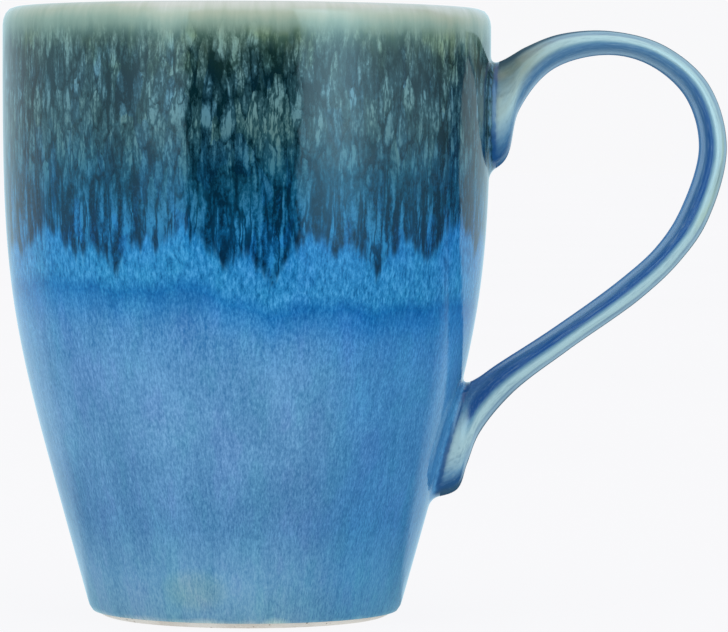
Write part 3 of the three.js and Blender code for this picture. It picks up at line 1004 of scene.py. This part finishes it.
class MUG_OT_strap_glaze(MugOperator):
    """The coat round the strap, from root to root, with its hidden face against the core"""

    bl_idname = "mug.strap_glaze"
    bl_label = "Strap glaze"

    def execute(self, context):
        cup, strap = context.scene.mug_cup, context.scene.mug_strap
        angle = even_angles(112)
        share = np.linspace(0, 1, 300)[:, None]
        under_wall = -0.2 * MM
        parts = []
        for inset, steps in ((0.0, share), (cup.glaze, share[::-4])):
            start = run_where(cup, strap, angle, under_wall, False, inset)
            end = run_where(cup, strap, angle, under_wall, True, inset)
            run = start + (end - start) * steps
            parts.append((strap_point(strap, run, angle + 0 * run, inset), run))
        rows, run = (np.vstack(halves) for halves in zip(*parts))
        fields = strap_fields(cup, strap, rows, run, angle + 0 * run)
        seen, count = len(share), len(rows)
        shares = map_shares(seen - 1, count - seen + 1)
        creases = (0, seen - 1, seen, count - 1)
        piece = weave("strap_glaze", rows, ring=True, fields=fields, creases=creases, shares=shares)
        seat(piece, ["handle_glaze"], strap_material())
        return {"FINISHED"}


FILLET_ROWS = 14


def joint_rows(cup, strap, angle, lower_end):
    """The fillet round one root, as rows of loops that close on themselves.

    On each line along the strap, one point stands a fillet's rise above the wall and one lies on the wall.
    The latter is moved out over the wall by the fillet's reach, square to the loop of the joint. The fillet
    is the quadratic curve between the two, tangent to both. Then the rows pass under wall and strap.
    """
    top_run = run_where(cup, strap, angle, strap.fillet_rise, lower_end)
    low_run = run_where(cup, strap, angle, 0, lower_end)
    top = strap_point(strap, top_run, angle)
    corner = strap_point(strap, low_run, angle)
    along = np.roll(corner, -1, axis=0) - np.roll(corner, 1, axis=0)
    level = np.stack([corner[:, 0] - AXIS_X, corner[:, 1], 0 * corner[:, 0]], axis=-1)
    level /= np.linalg.norm(level, axis=1)[:, None]
    slope = (wall_radius_at(cup, corner[:, 2] + MM) - wall_radius_at(cup, corner[:, 2] - MM)) / (2 * MM)
    normal = level - slope[:, None] * np.array([0, 0, 1])
    normal /= np.linalg.norm(normal, axis=1)[:, None]
    out = np.cross(along, normal)
    out /= np.linalg.norm(out, axis=1)[:, None]
    away = corner - corner.mean(axis=0)
    if np.einsum("ij,ij->i", out, away).sum() < 0:
        out = -out
    foot = corner + out * strap.fillet_reach
    bearing = np.arctan2(foot[:, 1], foot[:, 0] - AXIS_X)
    radius = wall_radius_at(cup, foot[:, 2])
    foot = np.stack([AXIS_X + radius * np.cos(bearing), radius * np.sin(bearing), foot[:, 2]], axis=-1)
    inward = strap_point(strap, top_run, angle, 1.2 * MM) - top
    share = np.linspace(0, 1, FILLET_ROWS)[:, None, None]
    fillet = (1 - share) ** 2 * top + 2 * (1 - share) * share * corner + share**2 * foot
    shallow, deep = 0.35 * MM, 0.5 * MM
    under = np.stack([foot - normal * shallow, corner - normal * deep + inward * 0.5, top + inward * 0.5])
    rows = np.concatenate([fillet, under])
    climb = np.concatenate([1 - share[:, 0], [[0.0], [0.5], [1.0]]]) + 0 * angle
    runs = np.concatenate([top_run + (low_run - top_run) * share[:, 0], [low_run, low_run, top_run]])
    return rows, climb, runs


class MUG_OT_joints(MugOperator):
    """The two luted joints: a fillet of clay and glaze round each root of the strap"""

    bl_idname = "mug.joints"
    bl_label = "Joints"

    def execute(self, context):
        cup, strap = context.scene.mug_cup, context.scene.mug_strap
        angle = even_angles(192)
        material = joint_material()
        joints = (("upper_fillet", "upper_joint", False), ("lower_fillet", "lower_joint", True))
        for name, node, lower_end in joints:
            rows, climb, runs = joint_rows(cup, strap, angle, lower_end)
            fields = glaze_fields(rows) | strap_fields(cup, strap, rows, runs, angle + 0 * runs)
            fields["climb"] = climb
            creases = (0, *range(FILLET_ROWS - 1, len(rows)))
            piece = weave(name, rows, ring=True, fields=fields, creases=creases)
            seat(piece, [node], material)
        return {"FINISHED"}


class MUG_OT_recess_glaze(MugOperator):
    """The thin pool of glaze in the recess under the foot, with a rounded edge"""

    bl_idname = "mug.recess_glaze"
    bl_label = "Recess glaze"

    def execute(self, context):
        radius = (RECESS_HIGH.x - RECESS_LOW.x) / 2
        low, high = RECESS_LOW.z, RECESS_HIGH.z
        half = (high - low) / 2
        edge = arc((radius - half, low + half), half, half, -90 * DEGREE, 90 * DEGREE, 13)
        under = straight((POLE_RADIUS, low), (radius - half, low), 40)
        dish = 0.12 * MM
        under[:, 1] += dish * (1 - (under[:, 0] / radius) ** 6)
        over = straight((radius - half, high), (POLE_RADIUS, high), 12)
        section = np.vstack([under, edge[1:-1], over])
        rows = turned(section, 192)
        rim = np.broadcast_to(((section[:, 0] / radius) ** 8)[:, None], rows.shape[:2])
        poles = {"first_pole": (AXIS_X, 0, under[0, 1]), "last_pole": (AXIS_X, 0, high)}
        piece = weave("recess_pool", rows, fields={"rim": rim}, **poles)
        seat(piece, ["recess_glaze"], recess_material())
        return {"FINISHED"}


def softbox(name, bearing, strength):
    """A rectangular light at a bearing from the front and a lift above level, facing the cup's upper half."""
    lift, wide, tall, away = 18 * DEGREE, 0.44, 0.66, 0.95
    light = bpy.data.lights.new(name, "AREA")
    light.shape = "RECTANGLE"
    light.size, light.size_y = wide, tall
    light.energy = strength * math.pi * wide * tall
    lamp = bpy.data.objects.new(name, light)
    middle = Vector((AXIS_X, 0, 0.085))
    place = Vector((math.sin(bearing) * math.cos(lift), -math.cos(bearing) * math.cos(lift), math.sin(lift)))
    lamp.location = middle + place * away
    lamp.rotation_euler = place.to_track_quat("Z", "Y").to_euler()
    lamp.visible_camera = False
    lamp.visible_glossy = False
    bpy.context.scene.collection.objects.link(lamp)


# How bright what the gloss sees is, by bearing in degrees, 0 at the front and growing towards the handle.
UPRIGHT_CARDS = (
    (-180, 0.90), (-130, 0.95), (-118, 0.85), (-104, 1.0), (-84, 1.15), (-66, 0.95), (-52, 1.1), (-47, 1.5),
    (-31, 1.7), (-26.6, 1.4), (-25.4, 0.03), (24.2, 0.03), (25.4, 1.9), (30, 2.8), (42, 3.8), (49, 3.4),
    (57, 2.2), (68, 1.35), (84, 1.15), (100, 0.55), (110, 0.18), (116, 0.55), (124, 0.92), (180, 0.90),
)
FLOOR_CARDS = (
    (-180, 0.90), (-120, 0.90), (-112, 0.55), (-98, 0.36), (-60, 0.30), (-30, 0.14), (0, 0.07), (60, 0.07),
    (106, 0.06), (112, 0.40), (119, 0.88), (180, 0.90),
)
ROOM_CARDS = ((-180, 0.94), (180, 0.94))
CARD_COLOUR = np.array((0.58, 1.0, 1.2))
LOW_CARD_COLOUR = np.array((0.40, 0.92, 1.30))
BACK_CARD_COLOUR = np.array((0.70, 0.98, 1.10))
BAND_STEPS = 720
# Bearing in degrees where the colour has turned into the back's, and how far before it starts to turn.
BACK_FROM, BACK_FADE = 112, 10
# Radius and height in metres, the cards below, the cards above, and the share of the latter.
BAND_RIMS = (
    (0.0262, 0.0005, FLOOR_CARDS, ROOM_CARDS, 0.45),
    (0.050, 0.0005, FLOOR_CARDS, ROOM_CARDS, 0.20),
    (0.068, 0.0005, FLOOR_CARDS, ROOM_CARDS, 0.04),
    (0.224, 0.0005, FLOOR_CARDS, UPRIGHT_CARDS, 0.0),
    (0.370, 0.0005, FLOOR_CARDS, UPRIGHT_CARDS, 0.22),
    (0.500, 0.0005, FLOOR_CARDS, UPRIGHT_CARDS, 0.42),
    (0.720, 0.0005, FLOOR_CARDS, UPRIGHT_CARDS, 0.56),
    (0.720, 0.040, FLOOR_CARDS, UPRIGHT_CARDS, 0.70),
    (0.720, 0.065, FLOOR_CARDS, UPRIGHT_CARDS, 0.90),
    (0.720, 0.090, FLOOR_CARDS, UPRIGHT_CARDS, 1.0),
    (0.720, 0.600, FLOOR_CARDS, UPRIGHT_CARDS, 1.0),
    (0.720, 1.100, UPRIGHT_CARDS, ROOM_CARDS, 1.0),
)


def ring_of_cards(name):
    """A band round the cup that only its gloss sees: out along the floor, then up, bright as the cards say.

    In front it is bluer low down than high up, and behind the cup it is nearly white.
    """
    across = BAND_STEPS + 1
    bearing = np.linspace(-180, 180, across)
    turn = np.radians(bearing)
    facing = np.clip((BACK_FROM - np.abs(bearing)) / BACK_FADE, 0, 1)[:, None]
    edges, bright = [], []
    for radius, high, below, above, share in BAND_RIMS:
        edges.append((AXIS_X + radius * np.sin(turn), -radius * np.cos(turn), 0 * turn + high))
        low, top = (np.interp(bearing, *zip(*cards)) for cards in (below, above))
        lowness = np.interp(high, (0.04, 0.09), (1, 0)) * np.interp(radius, (0.1, 0.3), (0, 1))
        front = CARD_COLOUR + lowness * (LOW_CARD_COLOUR - CARD_COLOUR)
        colour = BACK_CARD_COLOUR + facing * (front - BACK_CARD_COLOUR)
        bright.append(np.hstack([(low + share * (top - low))[:, None] * colour, np.ones((across, 1))]))
    points = np.stack(edges).transpose(0, 2, 1).reshape(-1, 3)
    first = (np.arange(len(edges) - 1)[:, None] * across + np.arange(BAND_STEPS)).ravel()
    faces = np.stack([first, first + 1, first + across + 1, first + across], axis=-1)
    mesh = bpy.data.meshes.new(name)
    mesh.from_pydata(points.tolist(), [], faces.tolist())
    tones = mesh.attributes.new("bright", "FLOAT_COLOR", "POINT")
    tones.data.foreach_set("color", np.concatenate(bright).ravel())
    recipe = Recipe(name)
    lit = recipe.node("ShaderNodeEmission", {"Color": recipe.field("bright", "Color")})
    recipe.node("ShaderNodeOutputMaterial", {0: lit.outputs[0]})
    band = bpy.data.objects.new(name, mesh)
    mesh.materials.append(recipe.material)
    bpy.context.scene.collection.objects.link(band)
    for ray in ("camera", "diffuse", "shadow", "transmission"):
        setattr(band, "visible_" + ray, False)


def sheet(name, corners, material):
    mesh = bpy.data.meshes.new(name)
    mesh.from_pydata(corners, [], [tuple(range(len(corners)))])
    mesh.materials.append(material)
    made = bpy.data.objects.new(name, mesh)
    bpy.context.scene.collection.objects.link(made)


# The floor glows by itself and takes only a faint shade, so that it stays pale up to the horizon.
FLOOR_GLOW = 0.966
FLOOR_SHADE = 0.045
FLOOR_REACH = 60.0
# Just under the foot ring, so that the two don't share a plane.
FLOOR_LEVEL = -0.1 * MM


class MUG_OT_stage(MugOperator):
    """The pale floor, the soft studio light and the camera"""

    bl_idname = "mug.stage"
    bl_label = "Stage"

    def execute(self, context):
        scene, stage = context.scene, context.scene.mug_stage
        world = bpy.data.worlds.new("pale room")
        world.use_nodes = True
        background = world.node_tree.nodes["Background"].inputs
        background["Color"].default_value = (1.0, 1.0, 1.015, 1)
        background["Strength"].default_value = stage.room
        scene.world = world
        scene.view_settings.view_transform = "Standard"

        paper = Recipe("floor paper")
        tone = paper_tone(paper, tuple(scene.mug_colours.floor))
        glow = paper.node("ShaderNodeEmission", {"Color": tone, "Strength": FLOOR_GLOW})
        matt = paper.node("ShaderNodeBsdfDiffuse", {"Color": tone.tint((FLOOR_SHADE,) * 3)})
        both = paper.node("ShaderNodeAddShader", {0: glow.outputs[0], 1: matt.outputs[0]})
        paper.node("ShaderNodeOutputMaterial", {0: both.outputs[0]})
        turns = ((-1, -1), (1, -1), (1, 1), (-1, 1))
        corners = [(x * FLOOR_REACH, y * FLOOR_REACH, FLOOR_LEVEL) for x, y in turns]
        sheet("floor", corners, paper.material)

        ring_of_cards("cards")
        for name, bearing, share in (("left softbox", -42, 1.0), ("right softbox", 40, 0.8)):
            softbox(name, bearing * DEGREE, stage.softbox * share)

        camera = bpy.data.objects.new("camera", bpy.data.cameras.new("camera"))
        camera.data.lens = stage.lens
        camera.location = (0, -stage.distance, stage.camera_height)
        gaze = Vector((0, 0, stage.aim_height)) - camera.location
        camera.rotation_mode = "QUATERNION"
        camera.rotation_quaternion = gaze.to_track_quat("-Z", "Y") @ Quaternion((0, 0, 1), stage.roll)
        scene.collection.objects.link(camera)
        scene.camera = camera
        return {"FINISHED"}


class MUG_PT_panel(bpy.types.Panel):
    """Lists the mug's sizes, colours and steps"""

    bl_label = "Glazed mug"
    bl_idname = "MUG_PT_panel"
    bl_space_type = "VIEW_3D"
    bl_region_type = "UI"
    bl_category = "Mug"

    def draw(self, context):
        for step in STEPS:
            self.layout.operator(step.bl_idname)
        for name, group in GROUPS.items():
            box = self.layout.box()
            for prop in group.__annotations__:
                box.prop(getattr(context.scene, name), prop)


GROUPS = {"mug_cup": CupSizes, "mug_strap": StrapSizes, "mug_colours": GlazeColours, "mug_stage": StageSizes}
STEPS = (
    MUG_OT_clay,
    MUG_OT_outside_glaze,
    MUG_OT_inside_glaze,
    MUG_OT_strap_glaze,
    MUG_OT_joints,
    MUG_OT_recess_glaze,
    MUG_OT_stage,
)
CLASSES = (*GROUPS.values(), *STEPS, MUG_PT_panel)


def register():
    for item in CLASSES:
        bpy.utils.register_class(item)
    for name, group in GROUPS.items():
        setattr(bpy.types.Scene, name, bpy.props.PointerProperty(type=group))


def unregister():
    for name in GROUPS:
        delattr(bpy.types.Scene, name)
    for item in reversed(CLASSES):
        bpy.utils.unregister_class(item)


def main():
    register()
    for step in STEPS:
        group, name = step.bl_idname.split(".")
        getattr(getattr(bpy.ops, group), name)()


if __name__ == "__main__":
    main()
